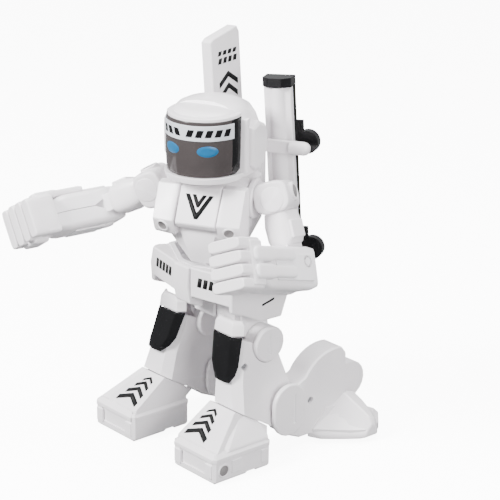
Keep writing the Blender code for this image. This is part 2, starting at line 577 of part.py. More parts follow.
def make_back_gear(torso):
    frame = join(
        block("back_frame", torso, WHITE, (-15.0, 15.2), (BACK_Y + GAP, 20.9), (113.0, 126.5)),
        block("back_post", torso, None, (12.1, 15.8), (19.4, 23.0), (114.0, 139.0)),
        prism("back_arm", torso, None, "Z",
              [(13.8, 18.9), (16.2, 16.8), (31.0, 16.8), (31.0, 19.4), (15.8, 19.4), (15.8, 23.0),
               (12.1, 23.0), (12.1, 19.4)], (133.5, 139.0)))
    peg = [(0.0, 38.4), (1.6, 38.0), (2.7, 36.9), (3.1, 35.4), (3.1, 29.0), (0.0, 29.0)]
    join(frame, turned("back_peg", torso, None, peg, "X", (0.0, 18.3, 136.2), 20))
    del frame
    fin_frame = make_frame("fin_frame", torso, (-9.2, 23.8, 109.6), (("Y", -3.5), ("Z", -19.5)))
    fin = [(-0.4, 0.0), (20.0, 0.0), (20.0, 71.0), (18.5, 74.0), (2.0, 71.0), (-0.4, 69.5)]
    prism("back_fin", fin_frame, WHITE, "X", fin, (-2.9, 2.9), 0.5)
    tube_frame = make_frame("launcher_frame", torso, (24.9, 20.6, 92.0), (("Y", -3.5),))
    section = [(-6.4, 6.0), (-6.4, 2.6)] + arc((0.0, 4.4), 4.2, 210.0, 330.0, 6)
    section += [(6.4, 2.6), (6.4, 6.0)]
    prism("launcher_tube", tube_frame, WHITE, "Z", section, (0.0, 70.0))
    rail = block("launcher_rail", tube_frame, BLACK, (-6.6, 6.8), (6.3, 8.6), (2.0, 74.5), 0.4)
    cap = [(-6.6, 8.6), (-6.6, 2.2), (-3.0, -0.4), (3.0, -0.4), (6.8, 2.2), (6.8, 8.6)]
    join(rail, prism("launcher_cap", tube_frame, None, "Z", cap, (70.3, 74.5)))
    for index, height in enumerate((44.0, -6.0)):
        join(rail,
             block(f"launcher_lug_{index}", tube_frame, None, (5.0, 10.0), (6.6, 8.4),
                   (height - 1.5, height + 10.0)),
             rod(f"launcher_disc_{index}", tube_frame, None, 5.4, "Y", (11.5, height), (6.4, 10.4), 24))
    del rail


# ---------------------------------------------------------------- head

def make_head(head):
    low, high = HEAD_Z
    dome = [(0.0, high), (7.0, high - 0.8), (13.0, high - 3.6), (17.5, high - 8.2), (20.2, high - 14.5),
            (DOME_RADIUS, high - 21.5), (20.6, high - 28.0), (19.0, low + 1.5), (17.5, low),
            (0.0, low)]
    helmet = turned("helmet_shell", head, WHITE, dome, "Z", (0.0, 0.0, 0.0), 40)
    join(helmet, rod("face_block", head, None, FACE_RADIUS + 0.2, "Z", (0.0, FACE_Y), (low, 157.2), 40))
    for label, side in SIDES.items():
        pod = [(-10.0, 156.0), (-11.0, 140.0), (-9.0, 131.0), (4.0, 130.4), (7.4, 135.0),
               (7.4, 151.0), (2.0, 157.0)]
        join(helmet, prism(f"{label}_ear_pod", head, None, "X", pod, on_side(side, (15.0, 22.0))))
    cut(helmet,
        block("face_opening", head, None, (-30.0, 30.0), (-40.0, -11.2), (131.5, 155.5)),
        rod("head_hollow", head, None, 15.0, "Z", (0.0, -3.0), (131.0, 155.0), 32),
        rod("neck_bore", head, None, 5.4, "Z", (0.0, 0.0), (120.0, 140.0)))
    for label, side in SIDES.items():
        cut(helmet, block(f"{label}_temple_cut", head, None, on_side(side, (15.0, 30.0)),
                          (-40.0, -11.2), (129.0, 158.5)))
    visor = rod("visor", head, SMOKE, FACE_RADIUS, "Z", (0.0, FACE_Y), VISOR_Z, 40)
    cut(visor, rod("visor_hollow", head, None, FACE_RADIUS - 1.8, "Z", (0.0, FACE_Y), (120.0, 170.0), 40),
        block("visor_back_cut", head, None, (-30.0, 30.0), (-11.5, 30.0), (120.0, 170.0)))
    eye = [(4.6 * math.cos(turn), 143.8 + 2.6 * math.sin(turn))
           for turn in (math.radians(15.0 * step) for step in range(24))]
    for label, side in SIDES.items():
        frame = make_frame(f"{label}_eye_frame", head, (0.0, FACE_Y, 0.0), (("Z", side * 31.0),))
        prism(f"{label}_eye_lens", frame, BLUE, "Y", eye, (-14.1, -12.0))


# ---------------------------------------------------------------- arms

def make_arm(label, side, torso):
    swing, raised, twist, bend = ARM_POSE[label]
    shoulder = make_frame(f"{label}_swing_frame", torso, (side * SHOULDER_X, 0.0, SHOULDER_Z),
                          (("X", swing),))
    lifted = make_frame(f"{label}_raise_frame", shoulder, (side * RAISE_X, 0.0, 0.0),
                        (("Y", -side * raised),))
    upper = make_frame(f"{label}_twist_frame", lifted, (0.0, 0.0, 0.0), (("Z", -side * twist),))
    if label == "right":
        upper.matrix_local = Matrix.Rotation(math.radians(-twist), 4, "Z")
    forearm = make_frame(f"{label}_elbow_frame", upper, (0.0, 0.0, -UPPER_ARM), (("X", 90.0 - bend),))
    make_shoulder(label, side, shoulder)
    make_arm_head(label, side, lifted)
    make_upper_arm(label, side, upper)
    make_forearm(label, side, forearm)


def make_shoulder(label, side, frame):
    disc = rod(f"{label}_shoulder_cap", frame, WHITE, 8.8, "X", (0.0, 0.0), on_side(side, (0.0, 4.6)), 32)
    centre = (RAISE_X, 0.0)
    hood = arc(centre, 10.8, 40.0, 150.0, 10) + arc(centre, 7.1, 150.0, 40.0, 8)
    join(disc, prism(f"{label}_hood", frame, None, "Y", [(side * x, z) for x, z in hood], (-8.4, 8.4)))
    ear = [(side * 0.5, -5.0), (side * RAISE_X, -5.0), (side * (RAISE_X + 5.5), 0.0),
           (side * (RAISE_X + 5.5), 4.0), (side * (RAISE_X + 3.0), 8.0), (side * 1.0, 7.5)]
    join(disc, prism(f"{label}_ear_front", frame, None, "Y", ear, (-8.4, -6.4)),
         prism(f"{label}_ear_back", frame, None, "Y", ear, (6.4, 8.4)))


def make_arm_head(label, side, frame):
    barrel = rod(f"{label}_arm_head", frame, WHITE, HEAD_BARREL, "Y", (0.0, 0.0), (-6.1, 6.1), 28)
    join(barrel, block(f"{label}_arm_neck", frame, None, (-5.8, 5.8), (-5.8, 5.8), (-9.0, 0.0)))
    cut(barrel, rod(f"{label}_twist_bore", frame, None, 2.9, "Z", (0.0, 0.0), (-20.0, -3.0), 16),
        rod(f"{label}_raise_recess", frame, None, 2.6, "X", (0.0, 0.0), on_side(side, (4.8, 20.0)), 16))


def make_upper_arm(label, side, frame):
    sleeve = rod(f"{label}_upper_arm", frame, WHITE, ARM_RADIUS, "Z", (0.0, 0.0), (-18.6, -9.3), 28)
    tongue = [(-ELBOW_BARREL, -17.0)] + arc((0.0, -UPPER_ARM), ELBOW_BARREL, 180.0, 360.0, 10)
    tongue += [(ELBOW_BARREL, -17.0)]
    join(sleeve, prism(f"{label}_elbow_tongue", frame, None, "X", tongue, (-4.2, 4.2)),
         rod(f"{label}_twist_peg", frame, None, 2.5, "Z", (0.0, 0.0), (-10.0, -3.6), 16),
         block(f"{label}_arm_plate", frame, None, on_side(side, (5.0, 8.0)), (-4.6, 4.6), (-18.6, -9.3)))


def make_forearm(label, side, frame):
    outline = [(-28.0, 5.8), (-28.0, -9.8), (-24.0, -12.2), (3.0, -12.0), (8.0, -7.0)]
    outline += arc((0.0, 0.0), 8.4, -20.0, 60.0, 5) + [(-22.0, 7.2)]
    shell = prism(f"{label}_gauntlet", frame, WHITE, "X", outline, (-8.6, 8.6), 0.6)
    cut(shell,
        prism(f"{label}_elbow_slot", frame, None, "X",
              [(-6.2, -7.0), (-6.2, 0.0), (-11.4, 8.5), (-11.4, 20.0), (20.0, 20.0), (20.0, -7.0)],
              (-4.6, 4.6)),
        rod(f"{label}_wrist_bore", frame, None, 4.2, "Y", (0.0, -1.5), (-40.0, -24.0), 16))
    for height in (1.0, -6.6):
        join(shell, block(f"{label}_prong_{height}", frame, None, on_side(side, (8.0, 10.8)),
                          (-37.0, -8.0), (height, height + 4.6), 0.4))
    fist = block(f"{label}_fist", frame, WHITE, (-9.6, 9.6), (-43.5, -29.6), (-13.4, 10.4), 2.2)
    cut(fist, block(f"{label}_fist_side_relief", frame, None, on_side(side, (7.6, 20.0)),
                    (-38.5, -20.0), (-8.0, 7.0)))
    for step in range(3):
        height = -7.4 + 6.0 * step
        cut(fist, block(f"{label}_finger_groove_{step}", frame, None, (-20.0, 20.0), (-50.0, -42.9),
                        (height - 0.5, height + 0.5)))
    join(fist, rod(f"{label}_wrist_stub", frame, None, 3.8, "Y", (0.0, -1.5), (-31.0, -25.0), 16))


# ---------------------------------------------------------------- assembly

def settle_origin(root):
    """Moves the model so that the middle of its lowest face lies at the world's origin."""
    bpy.context.view_layer.update()
    graph = bpy.context.evaluated_depsgraph_get()
    corners = []
    for piece in PARTS.objects:
        if piece.type == "MESH":
            solid = piece.evaluated_get(graph)
            mesh = solid.to_mesh()
            corners += [solid.matrix_world @ vertex.co for vertex in mesh.vertices]
            solid.to_mesh_clear()
    low = Vector([min(corner[axis] for corner in corners) for axis in range(3)])
    high = Vector([max(corner[axis] for corner in corners) for axis in range(3)])
    root.location = (-0.5 * (low.x + high.x), -0.5 * (low.y + high.y), -low.z)


def build():
    root = make_frame("pelvis_frame", None, (0.0, 0.0, 0.0))
    make_pelvis(root)
    for label, side in SIDES.items():
        make_leg(label, side, root)
    torso = make_frame("torso_frame", root, (0.0, WAIST_Y, 0.0), (("Z", TORSO_YAW),))
    make_torso(torso)
    make_back_gear(torso)
    make_head(make_frame("head_frame", torso, (0.0, 0.0, 0.0), (("Z", HEAD_YAW),)))
    for label, side in SIDES.items():
        make_arm(label, side, torso)
    settle_origin(root)


build()
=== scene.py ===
"""Looks of the walking humanoid robot: finer pieces and procedural materials over the frame."""
import json
import math

import bmesh
import bpy
from mathutils import Matrix, Vector


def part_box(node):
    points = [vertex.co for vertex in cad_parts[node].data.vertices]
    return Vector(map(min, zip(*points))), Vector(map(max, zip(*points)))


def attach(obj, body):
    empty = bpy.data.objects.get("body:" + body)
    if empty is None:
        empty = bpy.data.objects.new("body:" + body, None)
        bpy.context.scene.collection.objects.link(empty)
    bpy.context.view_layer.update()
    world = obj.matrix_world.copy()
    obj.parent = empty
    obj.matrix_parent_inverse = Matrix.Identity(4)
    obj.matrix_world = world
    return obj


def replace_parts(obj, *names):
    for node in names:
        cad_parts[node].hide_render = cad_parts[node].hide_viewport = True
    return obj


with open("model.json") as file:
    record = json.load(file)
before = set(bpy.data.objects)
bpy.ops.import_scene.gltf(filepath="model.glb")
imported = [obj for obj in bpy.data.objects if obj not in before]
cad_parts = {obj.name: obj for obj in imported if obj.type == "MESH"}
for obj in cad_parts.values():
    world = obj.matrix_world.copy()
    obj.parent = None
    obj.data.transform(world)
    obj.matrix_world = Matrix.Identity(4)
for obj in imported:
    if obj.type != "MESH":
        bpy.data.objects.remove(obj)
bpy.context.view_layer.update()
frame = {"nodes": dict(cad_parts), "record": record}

MM = 0.001
NODES = frame["nodes"]
SIDES = {"left": 1.0, "right": -1.0}


# ---------------------------------------------------------------- frames of the moving bodies

def middle(node):
    low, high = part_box(node)
    return 0.5 * (low + high)


def placed(parent, origin, turns=()):
    """A frame at origin (mm) in its parent, turned about one axis after another."""
    place = parent @ Matrix.Translation(Vector(origin) * MM)
    for axis, angle in turns:
        place = place @ Matrix.Rotation(math.radians(angle), 4, axis)
    return place


# Millimetres and degrees. ARM_POSE holds each arm's swing, raise, twist and bend at rest.
HIP_Y = 19.0
WAIST_Y = 15.0
TORSO_YAW = 29.0
HEAD_YAW = -5.0
SHOULDER_X, SHOULDER_Z = 18.0, 117.0
RAISE_X = 12.0
UPPER_ARM = 29.0
ARM_POSE = {"left": (-17.0, 19.0, 20.0, 97.0), "right": (0.0, 62.0, 17.0, 66.0)}

ROOT = Matrix.Translation((middle("belt_tray").x, middle("hip_axle").y - HIP_Y * MM, 0.0))
TORSO = placed(ROOT, (0.0, WAIST_Y, 0.0), (("Z", TORSO_YAW),))
FIN = placed(TORSO, (-9.2, 23.8, 109.6), (("Y", -3.5), ("Z", -19.5)))
HEAD = placed(TORSO, (0.0, 0.0, 0.0), (("Z", HEAD_YAW),))
SWING, RAISE, TWIST, ELBOW = {}, {}, {}, {}
for label, side in SIDES.items():
    swing, raised, twist, bend = ARM_POSE[label]
    SWING[label] = placed(TORSO, (side * SHOULDER_X, 0.0, SHOULDER_Z), (("X", swing),))
    RAISE[label] = placed(SWING[label], (side * RAISE_X, 0.0, 0.0), (("Y", -side * raised),))
    TWIST[label] = placed(RAISE[label], (0.0, 0.0, 0.0), (("Z", -twist),))
    ELBOW[label] = placed(TWIST[label], (0.0, 0.0, -UPPER_ARM), (("X", 90.0 - bend),))


# ---------------------------------------------------------------- materials

MOTTLE_SCALE = 60.0
FLOW_SCALE = 140.0
GRAIN_SCALE = 3600.0


def new_material(name, colour, roughness, metallic=0.0):
    material = bpy.data.materials.new(name)
    material.use_nodes = True
    shader = material.node_tree.nodes["Principled BSDF"]
    shader.inputs["Base Color"].default_value = (*colour, 1.0)
    shader.inputs["Roughness"].default_value = roughness
    shader.inputs["Metallic"].default_value = metallic
    return material, material.node_tree, shader


def add_noise(tree, coordinates, scale, detail=4.0, rough=0.5):
    noise = tree.nodes.new("ShaderNodeTexNoise")
    noise.inputs["Scale"].default_value = scale
    noise.inputs["Detail"].default_value = detail
    noise.inputs["Roughness"].default_value = rough
    tree.links.new(coordinates, noise.inputs["Vector"])
    return noise.outputs["Fac"]


def map_range(tree, value, low, high, to_low, to_high):
    node = tree.nodes.new("ShaderNodeMapRange")
    node.inputs["From Min"].default_value = low
    node.inputs["From Max"].default_value = high
    node.inputs["To Min"].default_value = to_low
    node.inputs["To Max"].default_value = to_high
    tree.links.new(value, node.inputs["Value"])
    return node.outputs["Result"]


def mix_colour(tree, factor, first, second):
    """first and second are each a colour or a socket."""
    node = tree.nodes.new("ShaderNodeMix")
    node.data_type = "RGBA"
    for socket, colour in ((node.inputs[6], first), (node.inputs[7], second)):
        if isinstance(colour, tuple):
            socket.default_value = (*colour, 1.0)
        else:
            tree.links.new(colour, socket)
    tree.links.new(factor, node.inputs[0])
    return node.outputs[2]


def plastic(name, colour, roughness, tint, edge_highlight_colour, bump=0.05, coat=0.0, gloss=0.5):
    """Moulded plastic: faint mottling, flow marks in the gloss, fine grain, and paler convex edges
    as a painted highlight.
    """
    material, tree, shader = new_material(name, colour, roughness)
    coordinates = tree.nodes.new("ShaderNodeTexCoord").outputs["Object"]
    mottle = add_noise(tree, coordinates, MOTTLE_SCALE, 5.0)
    shade = mix_colour(tree, map_range(tree, mottle, 0.35, 0.65, 0.0, 1.0), colour, tint)
    # Convex edges, found by pointiness, are mixed towards a paler colour: a painted edge highlight.
    edge = tree.nodes.new("ShaderNodeNewGeometry").outputs["Pointiness"]
    painted_edge_highlight = map_range(tree, edge, 0.53, 0.62, 0.0, 0.55)
    shade = mix_colour(tree, painted_edge_highlight, shade, edge_highlight_colour)
    tree.links.new(shade, shader.inputs["Base Color"])
    flow = add_noise(tree, coordinates, FLOW_SCALE, 3.0)
    tree.links.new(map_range(tree, flow, 0.3, 0.7, roughness - 0.06, roughness + 0.07),
                   shader.inputs["Roughness"])
    fine = add_noise(tree, coordinates, GRAIN_SCALE, 2.0)
    relief = tree.nodes.new("ShaderNodeBump")
    relief.inputs["Strength"].default_value = bump
    relief.inputs["Distance"].default_value = 0.0002
    tree.links.new(fine, relief.inputs["Height"])
    tree.links.new(relief.outputs["Normal"], shader.inputs["Normal"])
    shader.inputs["Specular IOR Level"].default_value = gloss
    shader.inputs["Coat Weight"].default_value = coat
    shader.inputs["Coat Roughness"].default_value = 0.12
    return material


def metal(name, colour, roughness):
    """Plated metal with fine drawn lines."""
    material, tree, shader = new_material(name, colour, roughness, 1.0)
    coordinates = tree.nodes.new("ShaderNodeTexCoord").outputs["Object"]
    stretch = tree.nodes.new("ShaderNodeMapping")
    stretch.inputs["Scale"].default_value = (40.0, 1500.0, 1500.0)
    tree.links.new(coordinates, stretch.inputs["Vector"])
    lines = add_noise(tree, stretch.outputs["Vector"], 2.0, 3.0)
    tree.links.new(map_range(tree, lines, 0.3, 0.7, roughness - 0.08, roughness + 0.12),
                   shader.inputs["Roughness"])
    relief = tree.nodes.new("ShaderNodeBump")
    relief.inputs["Strength"].default_value = 0.15
    relief.inputs["Distance"].default_value = 0.0001
    tree.links.new(lines, relief.inputs["Height"])
    tree.links.new(relief.outputs["Normal"], shader.inputs["Normal"])
    return material


# The fifth colour of each plastic is the paler colour of its painted edge highlight.
WHITE = plastic("white_plastic", (0.78, 0.75, 0.765), 0.34, (0.75, 0.72, 0.74),
                (0.82, 0.81, 0.83), coat=0.15)
BLACK = plastic("black_plastic", (0.003, 0.003, 0.0033), 0.16, (0.005, 0.005, 0.0055),
                (0.02, 0.02, 0.021), bump=0.015, gloss=0.22)
SMOKE = plastic("smoked_plastic", (0.040, 0.034, 0.034), 0.14, (0.048, 0.041, 0.041),
                (0.08, 0.07, 0.07), bump=0.01, gloss=0.4)
BLUE = plastic("blue_lens", (0.004, 0.085, 0.20), 0.30, (0.006, 0.11, 0.25), (0.01, 0.15, 0.3),
               bump=0.02, gloss=0.3)
GREY = plastic("pale_grey_plastic", (0.60, 0.62, 0.65), 0.34, (0.56, 0.58, 0.62),
               (0.72, 0.73, 0.75), coat=0.2)
GEAR = plastic("gear_plastic", (0.66, 0.62, 0.50), 0.45, (0.60, 0.56, 0.45), (0.75, 0.72, 0.62))
BOARD = plastic("board_green", (0.02, 0.14, 0.05), 0.35, (0.02, 0.18, 0.07), (0.1, 0.3, 0.12))
TYRE = plastic("tyre_rubber", (0.028, 0.028, 0.028), 0.72, (0.04, 0.04, 0.04), (0.10, 0.10, 0.10),
               bump=0.25)
CELL = plastic("battery_wrap", (0.05, 0.09, 0.28), 0.30, (0.06, 0.11, 0.33), (0.2, 0.25, 0.45))
INK = plastic("printed_ink", (0.003, 0.003, 0.0033), 0.55, (0.005, 0.005, 0.0055),
              (0.012, 0.012, 0.012), bump=0.02, gloss=0.12)
# Dark grey for the floors of holes and sockets: painted shade where the holes fall dark.
PAINTED_SHADE = plastic("painted_shade_grey", (0.16, 0.15, 0.15), 0.5, (0.18, 0.17, 0.17), (0.22, 0.21, 0.21))
STEEL = metal("plated_steel", (0.58, 0.58, 0.60), 0.28)

SLOT_MATERIAL = {
    "white_shell": WHITE, "black_trim": BLACK, "smoked_visor": SMOKE, "blue_lens": BLUE,
    "bright_metal": STEEL, "gear_plastic": GEAR, "circuit_green": BOARD, "wheel_rubber": TYRE,
    "battery_wrap": CELL,
}


CAD_EDGE = 0.45


def dress_frame():
    """Rounds the edges of the CAD nodes and gives each its procedural material."""
    for row in frame["record"]["subparts"]:
        node = NODES[row["node"]]
        node.data.materials.clear()
        node.data.materials.append(SLOT_MATERIAL[row["material_slot"]])
        weld = node.modifiers.new("weld", "WELD")
        weld.merge_threshold = 0.00001
        flat = node.modifiers.new("flat", "DECIMATE")
        flat.decimate_type = "DISSOLVE"
        flat.angle_limit = math.radians(1.0)
        edge = node.modifiers.new("edge", "BEVEL")
        edge.width = CAD_EDGE * MM
        edge.segments = 3
        edge.limit_method = "ANGLE"
        edge.angle_limit = math.radians(32.0)
        edge.use_clamp_overlap = True
        even = node.modifiers.new("even", "WEIGHTED_NORMAL")
        even.keep_sharp = False
        for face in node.data.polygons:
            face.use_smooth = True


# ---------------------------------------------------------------- mesh makers, in millimetres

def piece(name, builder, place, body, materials, width=0.0, segments=3, angle=35.0):
    """Turns a bmesh into an object on a body, with its edges rounded to width (mm)."""
    bmesh.ops.scale(builder, vec=(MM, MM, MM), verts=builder.verts)
    bmesh.ops.recalc_face_normals(builder, faces=builder.faces)
    mesh = bpy.data.meshes.new(name)
    builder.to_mesh(mesh)
    builder.free()
    for material in materials if isinstance(materials, (list, tuple)) else [materials]:
        mesh.materials.append(material)
    for face in mesh.polygons:
        face.use_smooth = True
    made = bpy.data.objects.new(name, mesh)
    bpy.context.scene.collection.objects.link(made)
    made.matrix_world = place
    if width:
        edge = made.modifiers.new("edge", "BEVEL")
        edge.width = width * MM
        edge.segments = segments
        edge.limit_method = "ANGLE"
        edge.angle_limit = math.radians(angle)
        even = made.modifiers.new("even", "WEIGHTED_NORMAL")
        even.keep_sharp = False
    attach(made, body)
    return made


def add_rings(builder, rings, close=True):
    """A skin through rings of equal length, capped at both ends; or an open sheet through rows."""
    layers = [[builder.verts.new(corner) for corner in ring] for ring in rings]
    count = len(layers[0])
    for lower, upper in zip(layers, layers[1:]):
        for i in range(count if close else count - 1):
            j = (i + 1) % count
            builder.faces.new((lower[i], lower[j], upper[j], upper[i]))
    if close:
        builder.faces.new(layers[0][::-1])
        builder.faces.new(layers[-1])


def add_box(builder, x, y, z, chamfer=0.0, steps=2):
    """A box with its edges cut back."""
    made = bmesh.ops.create_cube(builder, size=1.0)["verts"]
    size = [abs(span[1] - span[0]) for span in (x, y, z)]
    bmesh.ops.scale(builder, vec=size, verts=made)
    bmesh.ops.translate(builder, vec=[0.5 * sum(span) for span in (x, y, z)], verts=made)
    if chamfer:
        edges = list({edge for vertex in made for edge in vertex.link_edges})
        bmesh.ops.bevel(builder, geom=edges, offset=chamfer, segments=steps, profile=0.5,
                        affect="EDGES")


def superellipse(centre, half, power, count=40):
    """Points (a, b) on a rounded rectangle."""
    points = []
    for step in range(count):
        turn = 2.0 * math.pi * step / count
        across, along = math.cos(turn), math.sin(turn)
        points.append((centre[0] + half[0] * math.copysign(abs(across) ** (2.0 / power), across),
                       centre[1] + half[1] * math.copysign(abs(along) ** (2.0 / power), along)))
    return points


def add_lathe(builder, profile, centre, axis="Z", count=64):
    """A profile of (radius, height) pairs spun round an axis; it starts and ends on the axis."""
    rings = []
    for radius, height in profile:
        ring = []
        for step in range(count):
            turn = 2.0 * math.pi * step / count
            a, b = max(radius, 0.01) * math.cos(turn), max(radius, 0.01) * math.sin(turn)
            spots = {"X": (height, a, b), "Y": (a, height, b), "Z": (a, b, height)}
            ring.append(tuple(spots[axis][i] + centre[i] for i in range(3)))
        rings.append(ring)
    add_rings(builder, rings)


def on_side(side, span):
    """A span along X mirrored to its side, low end first."""
    return tuple(sorted((side * span[0], side * span[1])))


def side_lathe(builder, side, profile, centre, count):
    """A lathe along X whose heights run outwards on either side."""
    add_lathe(builder, [(radius, side * height) for radius, height in profile], centre, "X", count)


def arc_points(radius, start, end, steps, centre=(0.0, 0.0)):
    """Points round a circle; 0 degrees looks along -Y and angles run towards +X."""
    points = []
    for step in range(steps + 1):
        turn = math.radians(start + (end - start) * step / steps)
        points.append((centre[0] + radius * math.sin(turn), centre[1] - radius * math.cos(turn)))
    return points


# ---------------------------------------------------------------- head

# The face circle is centred on FACE_Y and the skull circle on 0; both are traced from MID_Y.
# In front of EAR_Y only the face circle counts. Shells are radii round FACE_Y.
FACE_Y = -9.5
MID_Y = -4.0
EAR_Y = -7.6
VISOR_RADIUS = 16.9
BLACK_SIDE_TURN = 70.0
EYE_TURN, EYE_Z = 30.0, 143.8
EYE_HALF = (4.9, 2.5)
EYE_SHELL, EYE_RIM_SHELL = 17.46, 17.30
EYE_WRAP = 17.2
EYE_STEPS = 40
BAND_SHELL = 17.42
DASH_SHELLS = (17.36, 17.52)
DASH_HALF = 4.6
DASH_LOW, DASH_HIGH = 150.1, 153.3


def two_circles(face_radius, skull_radius, count=96):
    """The outline of the face circle and the skull circle together, seen from above."""
    points = []
    for step in range(count):
        turn = 2.0 * math.pi * step / count
        way = Vector((math.sin(turn), -math.cos(turn)))
        reach = 0.0
        for centre_y, radius in ((FACE_Y, face_radius), (0.0, skull_radius)):
            offset = Vector((0.0, MID_Y - centre_y))
            along = offset.dot(way)
            inside = radius * radius - offset.length_squared + along * along
            if inside > 0.0:
                found = math.sqrt(inside) - along
                if centre_y or MID_Y + way.y * found > EAR_Y:
                    reach = max(reach, found)
        points.append((way.x * reach, MID_Y + way.y * reach))
    return points


def make_helmet():
    """The shell with its brow lip, the cap behind it, and an ear pod and rail on each side."""
    builder = bmesh.new()
    levels = [(128.6, 16.4, 18.0), (129.0, 17.5, 18.8), (131.0, 18.0, 19.6), (131.6, 18.0, 19.8),
              (131.7, 15.6, 19.9), (138.0, 15.6, 20.4), (145.0, 15.6, 20.4), (150.0, 15.6, 19.6),
              (154.0, 15.6, 18.2), (156.5, 15.6, 16.6), (156.6, 16.5, 16.5), (157.7, 16.4, 15.8),
              (158.2, 15.6, 15.0)]
    add_rings(builder, [[(x, y, height) for x, y in two_circles(face, skull)]
                        for height, face, skull in levels])
    add_lathe(builder, [(0.0, 157.0), (14.6, 157.0), (14.4, 158.4), (13.2, 159.4), (10.6, 160.0),
                        (6.0, 160.4), (0.0, 160.5)], (0.0, -8.4, 0.0), "Z", 96)
    piece("helmet", builder, HEAD, "head", WHITE, 0.35)

    cap = bmesh.new()
    add_lathe(cap, [(0.0, 152.0), (17.2, 152.0), (18.0, 152.6), (18.0, 154.2), (17.6, 155.6),
                    (16.6, 157.6), (14.8, 159.4), (11.8, 160.8), (7.4, 161.7), (0.0, 162.0)],
              (0.0, -2.6, 0.0), "Z", 96)
    geometry = cap.verts[:] + cap.edges[:] + cap.faces[:]
    sliced = bmesh.ops.bisect_plane(cap, geom=geometry, plane_co=(0.0, -12.0, 157.0),
                                    plane_no=(0.0, -1.0, 0.62), clear_outer=True)
    border = [item for item in sliced["geom_cut"] if isinstance(item, bmesh.types.BMEdge)]
    bmesh.ops.edgeloop_fill(cap, edges=border)
    piece("helmet_cap", cap, HEAD, "head", WHITE, 0.8, 4, angle=28.0)

    for label, side in SIDES.items():
        pod = bmesh.new()
        outline = [(-6.8, 151.6), (-7.0, 143.0), (-6.6, 134.6), (-2.0, 130.8), (4.4, 132.4),
                   (8.4, 138.0), (8.8, 145.0), (6.6, 150.4), (0.0, 153.4)]
        inner = [(-5.8, 150.6), (-6.0, 143.0), (-5.6, 135.6), (-1.8, 132.4), (3.6, 133.8),
                 (7.0, 138.8), (7.4, 144.6), (5.5, 149.2), (-0.2, 151.8)]
        rings = [[(side * x, y, z) for y, z in shape] for x, shape in
                 ((14.0, outline), (21.0, outline), (22.2, inner))]
        add_rings(pod, rings)
        rail = [(-8.7, 155.4), (-9.7, 146.0), (-9.7, 134.0), (-8.6, 130.8), (-6.2, 130.2),
                (-6.2, 155.8)]
        rings = [[(side * 13.0, y, z) for y, z in rail], [(side * 18.6, y, z) for y, z in rail],
                 [(side * 19.8, y + 0.8, z) for y, z in rail]]
        add_rings(pod, rings)
        piece(f"{label}_ear", pod, HEAD, "head", WHITE, 0.45)


def visor_patch(builder, start, end, low, high, radius, thickness, columns, rows,
                belly=0.0, corner=0.0):
    """A curved plate on the face circle, with optional rounded lower corners."""
    for shell in (radius, radius - thickness):
        grid = []
        for row in range(rows + 1):
            share = row / rows
            height = low + (high - low) * share
            bulge = belly * math.sin(math.pi * share)
            near = max(0.0, (corner - (height - low)) / corner) if corner else 0.0
            trim = corner * (1.0 - math.sqrt(max(0.0, 1.0 - near * near)))
            narrow = math.degrees(trim / radius)
            grid.append([(x, y, height) for x, y in
                         arc_points(shell + bulge, start + narrow, end - narrow, columns,
                                    (0.0, FACE_Y))])
        add_rings(builder, grid, close=False)
    builder.verts.ensure_lookup_table()
    open_edges = [edge for edge in builder.edges if len(edge.link_faces) == 1]
    bmesh.ops.bridge_loops(builder, edges=open_edges)


def make_visor():
    """The smoked visor with its black sides, the brow band with plain dashes, and the eyes."""
    builder = bmesh.new()
    visor_patch(builder, -96.0, 96.0, 131.9, 156.6, VISOR_RADIUS, 1.2, 72, 14, 0.45, 5.0)
    shield = piece("visor_shield", builder, HEAD, "head", [SMOKE, BLACK], 0.3)
    for face in shield.data.polygons:
        x, y = face.center.x / MM, face.center.y / MM
        if abs(math.degrees(math.atan2(x, FACE_Y - y))) > BLACK_SIDE_TURN:
            face.material_index = 1
    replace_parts(shield, "visor")

    band = bmesh.new()
    visor_patch(band, -90.0, 73.0, 148.3, 155.1, BAND_SHELL, 0.4, 56, 6)
    piece("brow_band", band, HEAD, "head", GREY, 0.15)
    marks = bmesh.new()
    for middle_turn in (-46.0, -32.0, -18.0, 4.0, 18.0, 32.0, 46.0, 60.0):
        lean = 4.0 if middle_turn > 0.0 else -4.0
        for shell in DASH_SHELLS:
            low, high = (
                [(x, y, height) for x, y in
                 arc_points(shell, middle_turn - DASH_HALF + shift, middle_turn + DASH_HALF + shift,
                            6, (0.0, FACE_Y))]
                for height, shift in ((DASH_LOW, -lean * 0.5), (DASH_HIGH, lean * 0.5)))
            add_rings(marks, [low, high], close=False)
    piece("brow_dashes", marks, HEAD, "head", BLACK)
    for label, side in SIDES.items():
        eye = bmesh.new()
        centre = eye.verts.new((EYE_SHELL * math.sin(math.radians(side * EYE_TURN)),
                                FACE_Y - EYE_SHELL * math.cos(math.radians(EYE_TURN)), EYE_Z))
        rims = []
        for share, lift in ((0.5, EYE_SHELL), (0.88, EYE_SHELL), (1.0, EYE_RIM_SHELL)):
            rim = []
            for step in range(EYE_STEPS):
                turn = 2.0 * math.pi * step / EYE_STEPS
                swept = EYE_HALF[0] * share * math.cos(turn) / EYE_WRAP
                spin = math.radians(side * EYE_TURN + math.degrees(swept))
                rim.append(eye.verts.new((lift * math.sin(spin), FACE_Y - lift * math.cos(spin),
                                          EYE_Z + EYE_HALF[1] * share * math.sin(turn))))
            rims.append(rim)
        for step in range(EYE_STEPS):
            after = (step + 1) % EYE_STEPS
            eye.faces.new((centre, rims[0][step], rims[0][after]))
            for inner, outer in zip(rims, rims[1:]):
                eye.faces.new((inner[step], outer[step], outer[after], inner[after]))
        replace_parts(piece(f"{label}_eye", eye, HEAD, "head", BLUE), f"{label}_eye_lens")


# ---------------------------------------------------------------- arms

